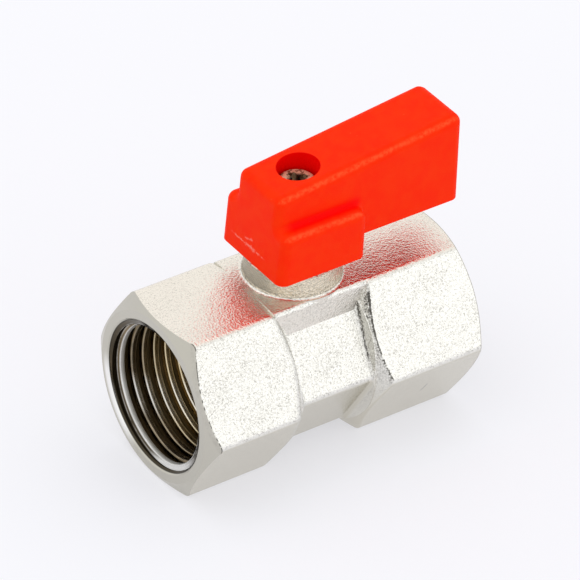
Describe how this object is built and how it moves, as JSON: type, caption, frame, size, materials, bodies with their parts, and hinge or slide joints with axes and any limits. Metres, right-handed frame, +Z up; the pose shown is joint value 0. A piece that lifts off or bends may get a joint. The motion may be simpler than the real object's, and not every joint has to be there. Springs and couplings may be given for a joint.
{
  "type": "mini ball valve",
  "caption": "Mini ball valve: hexagonal nickel-plated brass body, female thread at each end, and a red plastic lever that turns the inner ball a quarter turn to shut the flow.",
  "frame": {"origin": "centre of the footprint, in the plane of the body's lower flats", "axes": "+X along the bore towards the outlet and the lever's far end, +Z up along the stem"},
  "size_m": [0.0454, 0.0284, 0.0443],
  "materials": {
    "nickel_plated_brass": "nickel plate over a shot-blasted forging",
    "turned_brass": "turned",
    "chrome_plated_brass": "polished chrome plate",
    "white_seat_plastic": "smooth, waxy",
    "black_rubber": "moulded",
    "red_plastic": "satin moulded",
    "plated_steel": "bright zinc plate"
  },
  "bodies": {
    "casing": {"valve_body": "nickel_plated_brass", "seat_retainer": "turned_brass", "inlet_seat": "white_seat_plastic", "outlet_seat": "white_seat_plastic", "stem_thrust_washer": "white_seat_plastic"},
    "lever": {"handle": "red_plastic", "handle_screw": "plated_steel", "stem": "turned_brass", "lower_stem_o_ring": "black_rubber", "upper_stem_o_ring": "black_rubber"},
    "flow_ball": {"ball": "chrome_plated_brass"}
  },
  "joints": [
    {"name": "handle_turn", "type": "hinge", "parent": "casing", "child": "lever", "pos_m": [-0.00093, 0, 0.0289], "axis": [0, 0, 1], "range_deg": [-90, 0]},
    {"name": "ball_turn", "type": "hinge", "parent": "casing", "child": "flow_ball", "pos_m": [-0.00093, 0, 0.0125], "axis": [0, 0, 1], "range_deg": [-90, 0]}
  ],
  "couplings": [
    {"joint": "ball_turn", "follows": "handle_turn", "ratio": 1}
  ]
}
